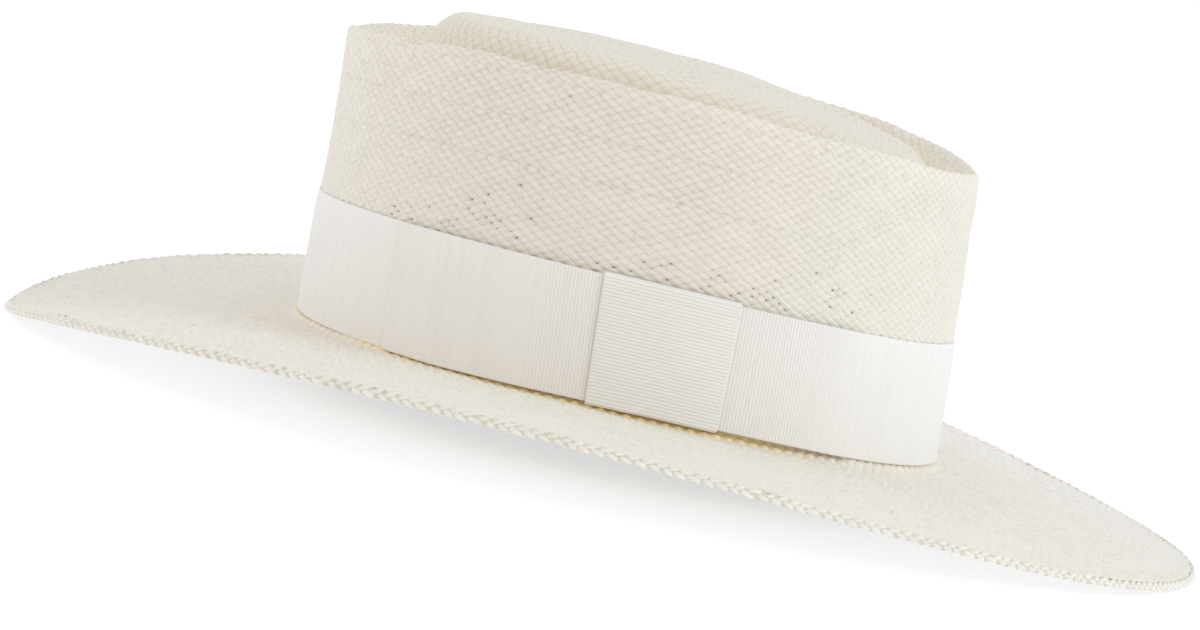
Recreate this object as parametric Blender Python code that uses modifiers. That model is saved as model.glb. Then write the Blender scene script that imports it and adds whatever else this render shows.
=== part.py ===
"""Panama hat: a woven straw body with a plaited brim edge, a grosgrain band with a flat bow, and a
sewn-in sweatband.

Axes: +Z up, -X towards the front of the hat, -Y towards the wearer's left, where the bow is.
Origin: on the floor under the middle of the brim, with the hat standing on its brim.
Angles run round the hat: 0 is the back, 90 degrees the wearer's right, 180 degrees the front.
"""

import math

import bmesh
import bpy
from mathutils import Vector

MM = 0.001

# How finely the rounds are cut.
SIDES = 72

# Straw.
STRAW_THICK = 1.25 * MM
BRAID_RADIUS = 1.4 * MM
GAP = 0.3 * MM

# Brim, to the outside of its plaited edge.
BRIM_HALF_LENGTH = 190.7 * MM
BRIM_HALF_WIDTH = 164.0 * MM
EDGE_LIFT = 19.9 * MM  # how far the brim curls up at the sides
EDGE_LIFT_FRONT_GAIN = 7.8 * MM  # the lift peaks in front of the ears
EDGE_SOFTNESS = 0.5  # the front dips sooner than the back
EDGE_LEAN = 1.9 * MM  # the right side curls up more than the left
BRIM_CONTROL_HALF_LENGTH = 146 * MM
BRIM_CONTROL_HALF_WIDTH = 124 * MM
BRIM_BOW_ENDS = 2.0 * MM  # front and back of the brim arch up
BRIM_BOW_SIDES = -2.5 * MM  # the sides hang between crown and edge

# Where the brim breaks into the crown.
BREAK_CENTRE = 1.3 * MM
BREAK_HALF_LENGTH = 102.0 * MM
BREAK_HALF_WIDTH = 84.0 * MM
BREAK_HEIGHT = 17.3 * MM
BREAK_SIDE_RISE = 2.8 * MM
BREAK_TILT = -0.017
BREAK_ROUND = 2.2 * MM

# Rim round the top of the crown.
RIM_CENTRE = -3.4 * MM
RIM_HALF_LENGTH = 100.2 * MM
RIM_HALF_WIDTH = 76.2 * MM
RIM_POWER = 2.2
RIM_HEIGHT = 109.9 * MM
RIM_SIDE_RISE = 6.8 * MM
RIM_RISE_POWER = 1.4
RIM_ROUND_MEAN = 4.2 * MM
RIM_ROUND_BACK_GAIN = 1.8 * MM

# The blocked top is a little twisted: its left is higher than its right at the front.
TWIST = 1.8 * MM

# Groove inside the rim.
GROOVE_DEPTH = 10.5 * MM
GROOVE_OUTER = (-3.0 * MM, 91.5 * MM, 70.0 * MM, 2.2)
GROOVE_INNER = (-0.6 * MM, 83.5 * MM, 65.0 * MM, 2.25)
GROOVE_ROUND = 2.4 * MM

# Raised oval in the middle of the top.
PLATEAU = (1.4 * MM, 77.4 * MM, 59.0 * MM, 2.3)
PLATEAU_HEIGHT = 120.6 * MM
PLATEAU_FALL_START = -32 * MM
PLATEAU_FALL = 1.0  # per metre
PLATEAU_ROUND = 5.0 * MM
PLATEAU_DOME = 0.8 * MM

# Grosgrain ribbon.
RIBBON_WIDTH = 38.0 * MM
RIBBON_THICK = 0.6 * MM
BAND_CLEARANCE = 1.6 * MM  # the band starts this far above the brim break
BAND_OUT = 0.4 * MM
BOW_OUT = BAND_OUT + RIBBON_THICK + GAP
BOW_THICK = 1.2 * MM  # a ribbon folded double
BOW_FRONT = math.radians(-132.7)
BOW_BACK = math.radians(-46.5)
TAB_OUT = BOW_OUT + BOW_THICK + GAP
TAB_MIDDLE = math.radians(-83.3)
TAB_WIDTH = 39.4 * MM

# Sweatband and what is sewn to it.
SWEATBAND_THICK = 0.9 * MM
SWEATBAND_OUT = -(STRAW_THICK + 0.35 * MM)
SWEATBAND_LOW = 0.6 * MM
SWEATBAND_TOP = 35.0 * MM
TRIM_OUT = SWEATBAND_OUT - SWEATBAND_THICK - GAP
STITCH_RADIUS = 0.25 * MM
STITCH_HEIGHT = 2.6 * MM
TAPE_WIDTH = 12.0 * MM
TAPE_THICK = 0.4 * MM
TAPE_LOW = 4.5 * MM
LABEL_WIDTH = 24.0 * MM
LABEL_THICK = 0.3 * MM
LABEL_LOW = 11.0 * MM
LABEL_TOP = 23.0 * MM
LABEL_ANGLE = math.radians(-26)
TACK_RADIUS = 0.2 * MM
TACK_LENGTH = 1.6 * MM
TACK_HEIGHT = 4.0 * MM
TACK_DEGREES = {"back": 0, "right_back": 60, "right_front": 120, "front": 180}


def oval(angle, centre_x, half_x, half_y, power=2.0):
    """Point of a superellipse in plan."""
    c, s = math.cos(angle), math.sin(angle)
    x = centre_x + half_x * math.copysign(abs(c) ** (2 / power), c)
    y = half_y * math.copysign(abs(s) ** (2 / power), s)
    return x, y


def edge_point(angle, inset):
    """Middle of the brim's thickness, this far in from the outside of its edge."""
    c, s = math.cos(angle), math.sin(angle)
    x, y = oval(angle, 0, BRIM_HALF_LENGTH - inset, BRIM_HALF_WIDTH - inset)
    lift = abs(s) ** (2 + EDGE_SOFTNESS * c) * (EDGE_LIFT - EDGE_LIFT_FRONT_GAIN * c)
    return Vector((x, y, BRAID_RADIUS + lift + EDGE_LEAN * s**3))


def break_point(angle):
    """Corner between brim and crown, on the upper and outer face of the straw."""
    x, y = oval(angle, BREAK_CENTRE, BREAK_HALF_LENGTH, BREAK_HALF_WIDTH)
    z = BREAK_HEIGHT + BREAK_TILT * x + BREAK_SIDE_RISE * math.sin(angle) ** 2
    return Vector((x, y, z))


def twist(x, y):
    return TWIST * (x - RIM_CENTRE) / RIM_HALF_LENGTH * y / RIM_HALF_WIDTH


def rim_point(angle, shape=(RIM_CENTRE, RIM_HALF_LENGTH, RIM_HALF_WIDTH, RIM_POWER)):
    """Point at the height of the rim, over any oval inside it."""
    x, y = oval(angle, *shape)
    rise = RIM_SIDE_RISE * abs(math.sin(angle)) ** RIM_RISE_POWER
    return Vector((x, y, RIM_HEIGHT + rise + twist(x, y)))


def groove_point(angle, shape):
    return rim_point(angle, shape) - Vector((0, 0, GROOVE_DEPTH))


def plateau_point(x, y):
    fall = PLATEAU_FALL * max(0.0, x - PLATEAU_FALL_START) ** 2
    return Vector((x, y, PLATEAU_HEIGHT - fall + twist(x, y)))


def bend(start, corner, end, t):
    """Point of the arc that leaves start and reaches end, both towards the corner."""
    return start * (1 - t) ** 2 + corner * (2 * t * (1 - t)) + end * t**2


def towards(a, b, distance):
    return a + (b - a).normalized() * distance


def meridian(angle):
    """Upper face of the straw in one direction, from the brim's edge up and in to the middle."""
    edge = edge_point(angle, 2 * BRAID_RADIUS + GAP) + Vector((0, 0, STRAW_THICK / 2))
    corner = break_point(angle)
    x, y = oval(angle, 0, BRIM_CONTROL_HALF_LENGTH, BRIM_CONTROL_HALF_WIDTH)
    ends = (1 + math.cos(2 * angle)) / 2
    bow = BRIM_BOW_ENDS * ends + BRIM_BOW_SIDES * (1 - ends)
    control = Vector((x, y, (edge.z + corner.z) / 2 + bow))
    brim_end = towards(corner, control, BREAK_ROUND)
    points = [bend(edge, control, brim_end, i / 4) for i in range(4)]

    centre = plateau_point(PLATEAU[0], 0)
    corners = [
        (corner, BREAK_ROUND, 2),
        (rim_point(angle), RIM_ROUND_MEAN + RIM_ROUND_BACK_GAIN * math.cos(angle), 3),
        (groove_point(angle, GROOVE_OUTER), GROOVE_ROUND, 1),
        (groove_point(angle, GROOVE_INNER), GROOVE_ROUND, 1),
        (plateau_point(*oval(angle, *PLATEAU)), PLATEAU_ROUND, 3),
    ]
    path = [control] + [c for c, _, _ in corners] + [centre]
    for i, (corner, round_off, steps) in enumerate(corners):
        start = towards(corner, path[i], round_off)
        end = towards(corner, path[i + 2], round_off)
        points += [bend(start, corner, end, k / steps) for k in range(steps + 1)]
    for t in (0.3, 0.65):
        dome = Vector((0, 0, PLATEAU_DOME * (1 - (1 - t) ** 2)))
        points.append(end.lerp(centre, t) + dome)
    return points, centre + Vector((0, 0, PLATEAU_DOME))


def wall_point(angle, height, out):
    """Point this far up the crown's wall from the brim break, and this far out of the straw."""
    base = break_point(angle)
    up = (rim_point(angle) - base).normalized()
    normal = Vector((math.cos(angle) / BREAK_HALF_LENGTH, math.sin(angle) / BREAK_HALF_WIDTH, 0))
    normal = (normal - up * normal.dot(up)).normalized()
    return base + up * height + normal * out


def turns(start=0.0, end=2 * math.pi):
    """Angles from start to end at the model's fineness; a whole turn leaves out its last one."""
    steps = max(2, round(SIDES * (end - start) / (2 * math.pi)))
    whole = end - start > 2 * math.pi - 1e-6
    return [start + (end - start) * i / steps for i in range(steps if whole else steps + 1)]


def arc_of(width, angle):
    """Angle that this width spans on the band at this place."""
    rate = Vector((BREAK_HALF_LENGTH * math.sin(angle), BREAK_HALF_WIDTH * math.cos(angle)))
    return width / rate.length


def material(name, colour, roughness):
    mat = bpy.data.materials.new(name)
    mat.use_nodes = True
    shader = mat.node_tree.nodes["Principled BSDF"]
    shader.inputs["Base Color"].default_value = (*colour, 1)
    shader.inputs["Roughness"].default_value = roughness
    shader.inputs["Metallic"].default_value = 0
    return mat


def add_part(name, mesh, colour, roughness):
    """Links the mesh as an object of the hat, smooth but for its sharp edges."""
    part = bpy.data.objects.new(name, mesh)
    hat.objects.link(part)
    mesh.materials.append(material(name, colour, roughness))
    mesh.shade_smooth()
    mesh.set_sharp_from_angle(angle=math.radians(40))
    return part


def loft(rows, closed_rows, cap=None):
    """Quads between rows of points, with a fan from the last row to the cap where there is one."""
    bm = bmesh.new()
    made = [[bm.verts.new(p) for p in row] for row in rows]
    columns = len(rows[0])
    for low, high in zip(made, made[1:]):
        for i in range(columns if closed_rows else columns - 1):
            j = (i + 1) % columns
            bm.faces.new((low[i], low[j], high[j], high[i]))
    if cap is not None:
        top = bm.verts.new(cap)
        for i in range(columns):
            bm.faces.new((made[-1][i], made[-1][(i + 1) % columns], top))
    mesh = bpy.data.meshes.new("loft")
    bm.to_mesh(mesh)
    bm.free()
    return mesh


def thicken(part, thickness, offset):
    """Gives an open sheet its thickness: offset -1 keeps its outer face, 1 its inner one."""
    solid = part.modifiers.new("thickness", "SOLIDIFY")
    solid.thickness = thickness
    solid.offset = offset
    solid.use_even_offset = True


def ribbon(name, start, end, low, top, out, thickness, colour, roughness):
    """A flat strip round the crown's wall, between two angles and two heights."""
    angles = turns(start, end)
    rows = [[wall_point(a, h, out) for a in angles] for h in (low, top)]
    whole = end - start > 2 * math.pi - 1e-6
    part = add_part(name, loft(rows, whole), colour, roughness)
    thicken(part, thickness, 1)
    return part


def make_straw_body():
    lines = [meridian(a) for a in turns()]
    rows = [list(row) for row in zip(*(points for points, _ in lines))]
    part = add_part("straw_body", loft(rows, True, lines[0][1]), (0.80, 0.76, 0.68), 0.55)
    thicken(part, STRAW_THICK, -1)


def make_edge_braid():
    curve = bpy.data.curves.new("brim_edge_braid", "CURVE")
    curve.dimensions = "3D"
    curve.bevel_depth = BRAID_RADIUS
    curve.bevel_resolution = 2
    angles = turns()
    spline = curve.splines.new("POLY")
    spline.points.add(len(angles) - 1)
    for point, angle in zip(spline.points, angles):
        point.co = (*edge_point(angle, BRAID_RADIUS), 1)
    spline.use_cyclic_u = True
    curve.materials.append(material("brim_edge_braid", (0.80, 0.76, 0.67), 0.6))
    hat.objects.link(bpy.data.objects.new("brim_edge_braid", curve))


def make_band_and_bow():
    low = BAND_CLEARANCE
    top = low + RIBBON_WIDTH
    white = (0.83, 0.81, 0.77)
    ribbon("ribbon_band", 0, 2 * math.pi, low, top, BAND_OUT, RIBBON_THICK, white, 0.7)
    ribbon("bow_loops", BOW_FRONT, BOW_BACK, low, top, BOW_OUT, BOW_THICK, white, 0.7)

    half = arc_of(TAB_WIDTH, TAB_MIDDLE) / 2
    lips = (low - GAP, top + GAP)
    section = [(lips[0], BOW_OUT), (lips[0], TAB_OUT), (lips[1], TAB_OUT), (lips[1], BOW_OUT)]
    angles = turns(TAB_MIDDLE - half, TAB_MIDDLE + half)
    rows = [[wall_point(a, h, out) for a in angles] for h, out in section]
    part = add_part("bow_tab", loft(rows, False), white, 0.7)
    thicken(part, RIBBON_THICK, 1)


def make_sweatband():
    inner = SWEATBAND_OUT - SWEATBAND_THICK
    ribbon("sweatband", 0, 2 * math.pi, SWEATBAND_LOW, SWEATBAND_TOP, inner, SWEATBAND_THICK,
           (0.78, 0.75, 0.69), 0.75)
    half = arc_of(TAPE_WIDTH, 0) / 2
    ribbon("sweatband_seam_tape", -half, half, TAPE_LOW, SWEATBAND_TOP - GAP, TRIM_OUT - TAPE_THICK,
           TAPE_THICK, (0.80, 0.77, 0.72), 0.7)
    half = arc_of(LABEL_WIDTH, LABEL_ANGLE) / 2
    ribbon("size_label", LABEL_ANGLE - half, LABEL_ANGLE + half, LABEL_LOW, LABEL_TOP,
           TRIM_OUT - LABEL_THICK, LABEL_THICK, (0.86, 0.85, 0.82), 0.6)


def thread(name, points, radius, closed):
    """A thread along these points, with flat ends where it isn't a ring."""
    curve = bpy.data.curves.new(name, "CURVE")
    curve.dimensions = "3D"
    curve.bevel_depth = radius
    curve.bevel_resolution = 1
    curve.use_fill_caps = not closed
    spline = curve.splines.new("POLY")
    spline.points.add(len(points) - 1)
    for place, point in zip(spline.points, points):
        place.co = (*point, 1)
    spline.use_cyclic_u = closed
    curve.materials.append(material(name, (0.85, 0.83, 0.78), 0.6))
    hat.objects.link(bpy.data.objects.new(name, curve))


def make_threads():
    out = TRIM_OUT - STITCH_RADIUS
    seam = [wall_point(angle, STITCH_HEIGHT, out) for angle in turns()]
    thread("sweatband_stitching", seam, STITCH_RADIUS, True)
    out = BAND_OUT + RIBBON_THICK + GAP + TACK_RADIUS
    for place, degrees in TACK_DEGREES.items():
        heights = (TACK_HEIGHT - TACK_LENGTH / 2, TACK_HEIGHT + TACK_LENGTH / 2)
        ends = [wall_point(math.radians(degrees), height, out) for height in heights]
        thread("band_tack_" + place, ends, TACK_RADIUS, False)


for old in list(bpy.data.objects):
    bpy.data.objects.remove(old)
hat = bpy.data.collections.new("panama_hat")
bpy.context.scene.collection.children.link(hat)

make_straw_body()
make_edge_braid()
make_band_and_bow()
make_sweatband()
make_threads()
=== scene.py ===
"""Looks of the panama hat: woven straw with a plaited edge, a grosgrain band with a flat bow, and a
sewn-in sweatband, on a pale floor in soft light.

Axes and angles are those of the CAD: +Z up, -X the front of the hat, -Y the wearer's left. Angles run
round the hat: 0 is the back, 90 degrees the wearer's right, 180 degrees the front.
"""

import math

import bpy
import numpy as np
from mathutils import Matrix, Vector


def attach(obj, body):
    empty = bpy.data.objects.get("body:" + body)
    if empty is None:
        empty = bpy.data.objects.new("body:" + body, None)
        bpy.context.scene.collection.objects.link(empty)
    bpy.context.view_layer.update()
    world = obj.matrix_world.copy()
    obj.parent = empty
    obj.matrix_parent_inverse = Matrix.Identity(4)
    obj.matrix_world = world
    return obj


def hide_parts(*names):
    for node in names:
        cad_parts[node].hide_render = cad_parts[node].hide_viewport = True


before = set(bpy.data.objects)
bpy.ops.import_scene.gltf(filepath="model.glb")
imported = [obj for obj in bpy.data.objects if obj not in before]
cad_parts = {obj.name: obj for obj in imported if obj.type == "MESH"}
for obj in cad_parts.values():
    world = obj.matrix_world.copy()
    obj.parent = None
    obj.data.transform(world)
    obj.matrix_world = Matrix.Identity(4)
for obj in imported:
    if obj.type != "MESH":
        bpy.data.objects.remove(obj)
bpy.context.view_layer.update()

MM = 0.001
UP = np.array((0.0, 0.0, 1.0))

# The hat's shape, by the same formulas as the CAD.

STRAW_THICK = 1.25 * MM
BRAID_RADIUS = 1.4 * MM
GAP = 0.3 * MM

BRIM_HALF_LENGTH = 190.7 * MM
BRIM_HALF_WIDTH = 164.0 * MM
EDGE_LIFT = 19.9 * MM
EDGE_LIFT_FRONT_GAIN = 7.8 * MM
EDGE_SOFTNESS = 0.5
EDGE_LEAN = 1.9 * MM
BRIM_CONTROL = (0, 146 * MM, 124 * MM)  # an oval: middle along x, half length, half width, any power
BRIM_BOW_ENDS = 2.0 * MM
BRIM_BOW_SIDES = -2.5 * MM

BREAK_CENTRE = 1.3 * MM
BREAK_HALF_LENGTH = 102.0 * MM
BREAK_HALF_WIDTH = 84.0 * MM
BREAK_HEIGHT = 17.3 * MM
BREAK_SIDE_RISE = 2.8 * MM
BREAK_TILT = -0.017
BREAK_ROUND = 2.2 * MM

RIM = (-3.4 * MM, 100.2 * MM, 76.2 * MM, 2.2)
RIM_HEIGHT = 109.9 * MM
RIM_SIDE_RISE = 6.8 * MM
RIM_RISE_POWER = 1.4
RIM_ROUND_MEAN = 4.2 * MM
RIM_ROUND_BACK_GAIN = 1.8 * MM
TWIST = 1.8 * MM

GROOVE_DEPTH = 10.5 * MM
GROOVE_OUTER = (-3.0 * MM, 91.5 * MM, 70.0 * MM, 2.2)
GROOVE_INNER = (-0.6 * MM, 83.5 * MM, 65.0 * MM, 2.25)
GROOVE_ROUND = 2.4 * MM

PLATEAU = (1.4 * MM, 77.4 * MM, 59.0 * MM, 2.3)
PLATEAU_HEIGHT = 120.6 * MM
PLATEAU_FALL_START = -32 * MM
PLATEAU_FALL = 0.94
PLATEAU_ROUND = 7.0 * MM
PLATEAU_DOME = 0.8 * MM

RIBBON_WIDTH = 38.0 * MM
RIBBON_THICK = 0.6 * MM
BAND_CLEARANCE = 1.6 * MM
RIBBON_TOP = BAND_CLEARANCE + RIBBON_WIDTH
RIBBON_MIDDLE = BAND_CLEARANCE + RIBBON_WIDTH / 2
BAND_OUT = 0.4 * MM
BOW_OUT = BAND_OUT + RIBBON_THICK + GAP
BOW_THICK = 1.2 * MM
BOW_FRONT = math.radians(-132.7)
BOW_BACK = math.radians(-46.5)
TAB_OUT = BOW_OUT + BOW_THICK + GAP
TAB_MIDDLE = math.radians(-83.3)
TAB_WIDTH = 39.4 * MM

SWEATBAND_THICK = 0.9 * MM
SWEATBAND_OUT = -(STRAW_THICK + 0.35 * MM)
SWEATBAND_LOW = 0.6 * MM
SWEATBAND_TOP = 35.0 * MM
TRIM_OUT = SWEATBAND_OUT - SWEATBAND_THICK - GAP
STITCH_RADIUS = 0.25 * MM
STITCH_HEIGHT = 2.6 * MM
TAPE_WIDTH = 12.0 * MM
TAPE_THICK = 0.4 * MM
TAPE_LOW = 4.5 * MM
LABEL_WIDTH = 24.0 * MM
LABEL_THICK = 0.3 * MM
LABEL_LOW = 11.0 * MM
LABEL_TOP = 23.0 * MM
LABEL_ANGLE = math.radians(-26)
TACK_RADIUS = 0.2 * MM
TACK_LENGTH = 1.6 * MM
TACK_HEIGHT = 4.0 * MM
TACK_DEGREES = {"back": 0, "right_back": 60, "right_front": 120, "front": 180}


def stack(x, y, z):
    return np.stack(np.broadcast_arrays(x, y, z), -1)


def unit(v):
    return v / np.maximum(np.linalg.norm(v, axis=-1, keepdims=True), 1e-12)


def oval(angle, centre_x, half_x, half_y, power=2.0):
    """Points of a superellipse in plan."""
    c, s = np.cos(angle), np.sin(angle)
    x = centre_x + half_x * np.sign(c) * np.abs(c) ** (2 / power)
    return x, half_y * np.sign(s) * np.abs(s) ** (2 / power)


def edge_point(angle, inset):
    """Middle of the brim's thickness, this far in from the outside of its edge."""
    c, s = np.cos(angle), np.sin(angle)
    x, y = oval(angle, 0, BRIM_HALF_LENGTH - inset, BRIM_HALF_WIDTH - inset)
    lift = np.abs(s) ** (2 + EDGE_SOFTNESS * c) * (EDGE_LIFT - EDGE_LIFT_FRONT_GAIN * c)
    return stack(x, y, BRAID_RADIUS + lift + EDGE_LEAN * s**3)


def break_point(angle):
    """Corner between brim and crown, on the upper and outer face of the straw."""
    x, y = oval(angle, BREAK_CENTRE, BREAK_HALF_LENGTH, BREAK_HALF_WIDTH)
    return stack(x, y, BREAK_HEIGHT + BREAK_TILT * x + BREAK_SIDE_RISE * np.sin(angle) ** 2)


def twist(x, y):
    return TWIST * (x - RIM[0]) / RIM[1] * y / RIM[2]


def rim_point(angle, shape=RIM):
    """Point at the height of the rim, over any oval inside it."""
    x, y = oval(angle, *shape)
    rise = RIM_SIDE_RISE * np.abs(np.sin(angle)) ** RIM_RISE_POWER
    return stack(x, y, RIM_HEIGHT + rise + twist(x, y))


def groove_point(angle, shape):
    return rim_point(angle, shape) - GROOVE_DEPTH * UP


def plateau_point(x, y):
    fall = PLATEAU_FALL * np.maximum(0.0, x - PLATEAU_FALL_START) ** 2
    return stack(x, y, PLATEAU_HEIGHT - fall + twist(x, y))


def bend(start, corner, end, t):
    """Point of the arc that leaves start and reaches end, both towards the corner."""
    return start * (1 - t) ** 2 + corner * (2 * t * (1 - t)) + end * t**2


def towards(a, b, distance):
    return a + unit(b - a) * distance


def way_along(points):
    """Distance along a line to each of its points."""
    return np.concatenate([[0], np.cumsum(np.linalg.norm(np.diff(points, axis=0), axis=1))])


def degrees_round(angle):
    """Degrees from -180 to 180."""
    return (np.degrees(angle) + 180) % 360 - 180


def hump(at, width):
    """1 at 0, falling smoothly to both sides over about this width."""
    return np.exp(-((at / width) ** 2))


EDGE_INSET = 2.3 * MM  # the straw runs this far under the outside of the plait
BRIM_STEPS = 40
CORNER_STEPS = 8
FLAT_STEPS = 10


def meridians(angle):
    """Upper face of the straw at each angle, as a line from the brim's edge up and in to the middle."""
    edge = edge_point(angle, EDGE_INSET) + UP * STRAW_THICK / 2
    corner = break_point(angle)
    x, y = oval(angle, *BRIM_CONTROL)
    ends = (1 + np.cos(2 * angle)) / 2
    bow = BRIM_BOW_ENDS * ends + BRIM_BOW_SIDES * (1 - ends)
    control = stack(x, y, (edge[:, 2] + corner[:, 2]) / 2 + bow)
    brim_end = towards(corner, control, BREAK_ROUND)
    line = [bend(edge, control, brim_end, i / BRIM_STEPS) for i in range(BRIM_STEPS)]

    centre = plateau_point(np.full(len(angle), PLATEAU[0]), 0.0)
    rim_round = (RIM_ROUND_MEAN + RIM_ROUND_BACK_GAIN * np.cos(angle))[:, None]
    corners = [
        (corner, BREAK_ROUND),
        (rim_point(angle), rim_round),
        (groove_point(angle, GROOVE_OUTER), GROOVE_ROUND),
        (groove_point(angle, GROOVE_INNER), GROOVE_ROUND),
        (plateau_point(*oval(angle, *PLATEAU)), PLATEAU_ROUND),
    ]
    path = [control] + [c for c, _ in corners] + [centre]
    for i, (corner, round_off) in enumerate(corners):
        start = towards(corner, path[i], round_off)
        end = towards(corner, path[i + 2], round_off)
        line += [bend(start, corner, end, k / CORNER_STEPS) for k in range(CORNER_STEPS + 1)]
    for t in np.arange(1, FLAT_STEPS + 1) / FLAT_STEPS:
        line.append(end + (centre - end) * t + PLATEAU_DOME * (1 - (1 - t) ** 2) * UP)
    return np.stack(line, 1)


def wall_point(angle, height, out):
    """Point this far up the crown's wall from the brim break, and this far out of the straw."""
    base = break_point(angle)
    up = unit(rim_point(angle) - base)
    normal = stack(np.cos(angle) / BREAK_HALF_LENGTH, np.sin(angle) / BREAK_HALF_WIDTH, 0.0)
    normal = unit(normal - up * (normal * up).sum(-1, keepdims=True))
    return base + up * np.asarray(height)[..., None] + normal * np.asarray(out)[..., None]


# Shares of the way round, evenly spaced along an oval midway between the crown's and the brim's.
_fine = np.linspace(0, 2 * math.pi, 5761)
_pace = np.hypot(125 * np.sin(_fine), 104 * np.cos(_fine))
_way = np.concatenate([[0], np.cumsum((_pace[1:] + _pace[:-1]) / 2)])
_way /= _way[-1]


def angle_at(turn):
    return np.interp(turn % 1.0, _way, _fine) + 2 * math.pi * np.floor(turn)


def turn_at(angle):
    return np.interp(angle % (2 * math.pi), _fine, _way) + np.floor(angle / (2 * math.pi))


class Straw:
    """The straw's upper face, sampled finely once. A place is a distance in along the face from the
    brim's edge, averaged over all directions."""

    def __init__(self, columns=2400):
        angle = angle_at(np.arange(columns) / columns)
        point = meridians(angle)
        around = unit(meridians(angle + 1e-4) - point)
        around[:, -1] = unit(around[:, -2])
        inward = unit(np.gradient(point, axis=1))
        out = unit(np.cross(around, inward))
        out[:, -1] = UP
        self.grids = [np.concatenate([g, g[:1]]) for g in (point, out, around, inward)]
        self.columns = columns
        steps = np.linalg.norm(np.diff(point, axis=1), axis=-1).mean(0)
        self.places = np.concatenate([[0], np.cumsum(steps)])
        self.girths = np.linalg.norm(np.diff(self.grids[0], axis=0), axis=-1).sum(0)
        corner = BRIM_STEPS + CORNER_STEPS
        self.wall = self.places[corner] - BREAK_ROUND
        self.corners = [self.places[BRIM_STEPS + 4 + k * (CORNER_STEPS + 1)] for k in range(5)]
        self.end = self.places[-1]

    def at(self, turn, place):
        """Points, and unit vectors out of the face, round it and inwards, at turns and one place."""
        t = (turn % 1.0) * self.columns
        i = np.minimum(t.astype(int), self.columns - 1)
        u = (t - i)[:, None]
        k = float(np.interp(place, self.places, np.arange(len(self.places))))
        j = min(int(k), len(self.places) - 2)
        v = k - j
        made = []
        for g in self.grids:
            low = g[i, j] * (1 - u) + g[i + 1, j] * u
            high = g[i, j + 1] * (1 - u) + g[i + 1, j + 1] * u
            made.append(low * (1 - v) + high * v)
        return [made[0]] + [unit(m) for m in made[1:]]

    def girth(self, place):
        return float(np.interp(place, self.places, self.girths))


straw = Straw()


WAVE_COUNT = 7


def waves(points, size, seed):
    """Smooth noise between about -1 and 1, with features of about this size."""
    rng = np.random.default_rng(seed)
    total = 0
    for _ in range(WAVE_COUNT):
        way = unit(rng.normal(size=3))
        pace = 2 * math.pi / size * rng.uniform(0.7, 1.4)
        total = total + np.sin(points @ way * pace + rng.uniform(0, 2 * math.pi))
    return total / math.sqrt(WAVE_COUNT)


# Meshes.


def link_in(name, data):
    made = bpy.data.objects.new(name, data)
    bpy.context.scene.collection.objects.link(made)
    return made


def make_piece(name, points, faces, marks, node, slot, material):
    """Links a mesh with smooth faces as a piece of the hat. marks are vectors on the faces' corners."""
    mesh = bpy.data.meshes.new(name)
    faces = np.asarray(faces, np.int32)
    size = faces.shape[1]
    mesh.vertices.add(len(points))
    mesh.vertices.foreach_set("co", np.asarray(points, np.float32).ravel())
    mesh.loops.add(faces.size)
    mesh.loops.foreach_set("vertex_index", faces.ravel())
    mesh.polygons.add(len(faces))
    mesh.polygons.foreach_set("loop_start", np.arange(0, faces.size, size, dtype=np.int32))
    mesh.polygons.foreach_set("use_smooth", np.ones(len(faces), bool))
    mesh.update(calc_edges=True)
    for mark, values in marks.items():
        layer = mesh.attributes.new(mark, "FLOAT_VECTOR", "CORNER")
        layer.data.foreach_set("vector", np.asarray(values, np.float32).ravel())
    mesh.materials.append(material)
    piece = link_in(name, mesh)
    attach(piece, "root")
    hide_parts(node)
    return piece


def grid(columns, rows, closed):
    """Faces over columns of points that each close on themselves, and the faces' corners as pairs of
    column and row numbers that don't wrap. closed also joins the last column to the first."""
    i, k = np.meshgrid(np.arange(columns if closed else columns - 1), np.arange(rows), indexing="ij")
    i, k = i.ravel(), k.ravel()
    corners = [(i, k), (i + 1, k), (i + 1, k + 1), (i, k + 1)]
    return np.stack([a % columns * rows + b % rows for a, b in corners], 1), corners


def caps(columns, rows):
    """Quads across the open ends of columns of points, first and last."""
    k = np.arange(rows // 2 - 1)
    cap = np.stack([k, k + 1, rows - 2 - k, rows - 1 - k], 1)
    return cap, (columns - 1) * rows + cap[:, ::-1]


def rings_round(middle, side, lift, wide, thick, sides):
    """A ring of points round each point of a line, this wide towards side and thick towards lift."""
    ring = np.arange(sides) * 2 * math.pi / sides
    return (middle[:, None] + side[:, None] * (np.cos(ring)[None, :] * wide[:, None])[..., None]
            + lift[:, None] * (np.sin(ring)[None, :] * thick[:, None])[..., None])


def join(parts):
    """One mesh's points and faces, of several meshes'."""
    points, faces, start = [], [], 0
    for p, f in parts:
        points.append(p)
        faces.append(f + start)
        start += len(p)
    return np.concatenate(points), np.concatenate(faces)


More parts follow.
